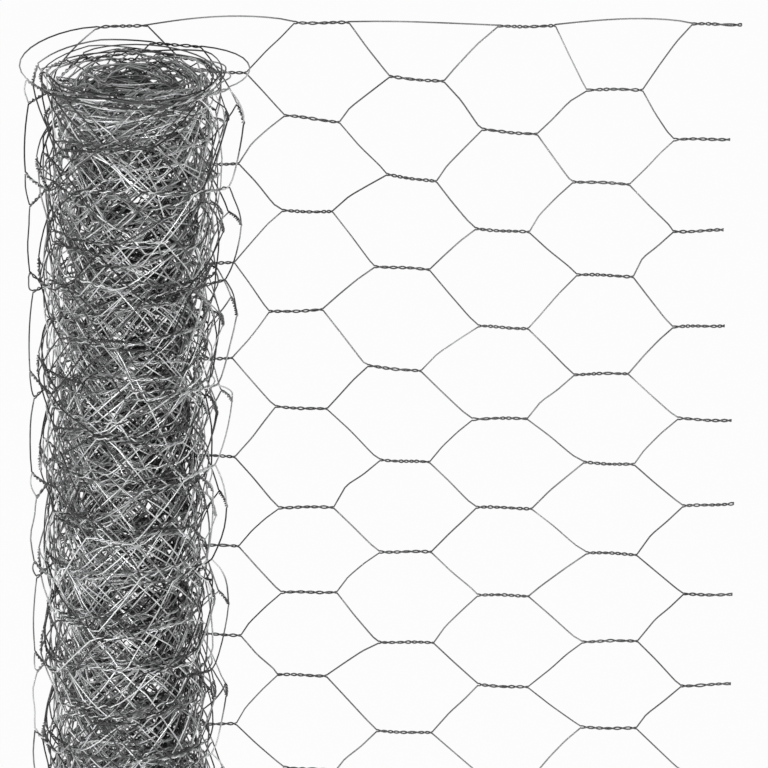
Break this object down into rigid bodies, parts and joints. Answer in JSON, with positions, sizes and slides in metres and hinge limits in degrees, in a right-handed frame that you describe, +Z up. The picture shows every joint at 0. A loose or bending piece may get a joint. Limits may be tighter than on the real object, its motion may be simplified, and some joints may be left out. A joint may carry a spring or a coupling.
{
  "type": "roll of chicken wire",
  "caption": "Roll of galvanised hexagonal wire netting standing on end, with a loose outermost turn and its free end drawn out flat.",
  "frame": {"origin": "on the axis of the roll's bore, at the floor", "axes": "+Z up the roll's axis, +X along the free end, away from the roll; the free end leaves the roll's +Y side"},
  "size_m": [0.3533, 0.1078, 0.5126],
  "materials": {
    "zinc_wire": "galvanised, dull"
  },
  "bodies": {
    "root": {"wound_roll": "zinc_wire", "bottom_edge_wire": "zinc_wire", "top_edge_wire": "zinc_wire", "mesh_wire_01": "zinc_wire", "mesh_wire_02": "zinc_wire", "mesh_wire_03": "zinc_wire", "mesh_wire_04": "zinc_wire", "mesh_wire_05": "zinc_wire", "mesh_wire_06": "zinc_wire", "mesh_wire_07": "zinc_wire", "mesh_wire_08": "zinc_wire", "mesh_wire_09": "zinc_wire", "mesh_wire_10": "zinc_wire", "mesh_wire_11": "zinc_wire", "mesh_wire_12": "zinc_wire", "mesh_wire_13": "zinc_wire", "mesh_wire_14": "zinc_wire", "mesh_wire_15": "zinc_wire", "mesh_wire_16": "zinc_wire", "mesh_wire_17": "zinc_wire", "mesh_wire_18": "zinc_wire", "mesh_wire_19": "zinc_wire", "mesh_wire_20": "zinc_wire"}
  },
  "joints": []
}
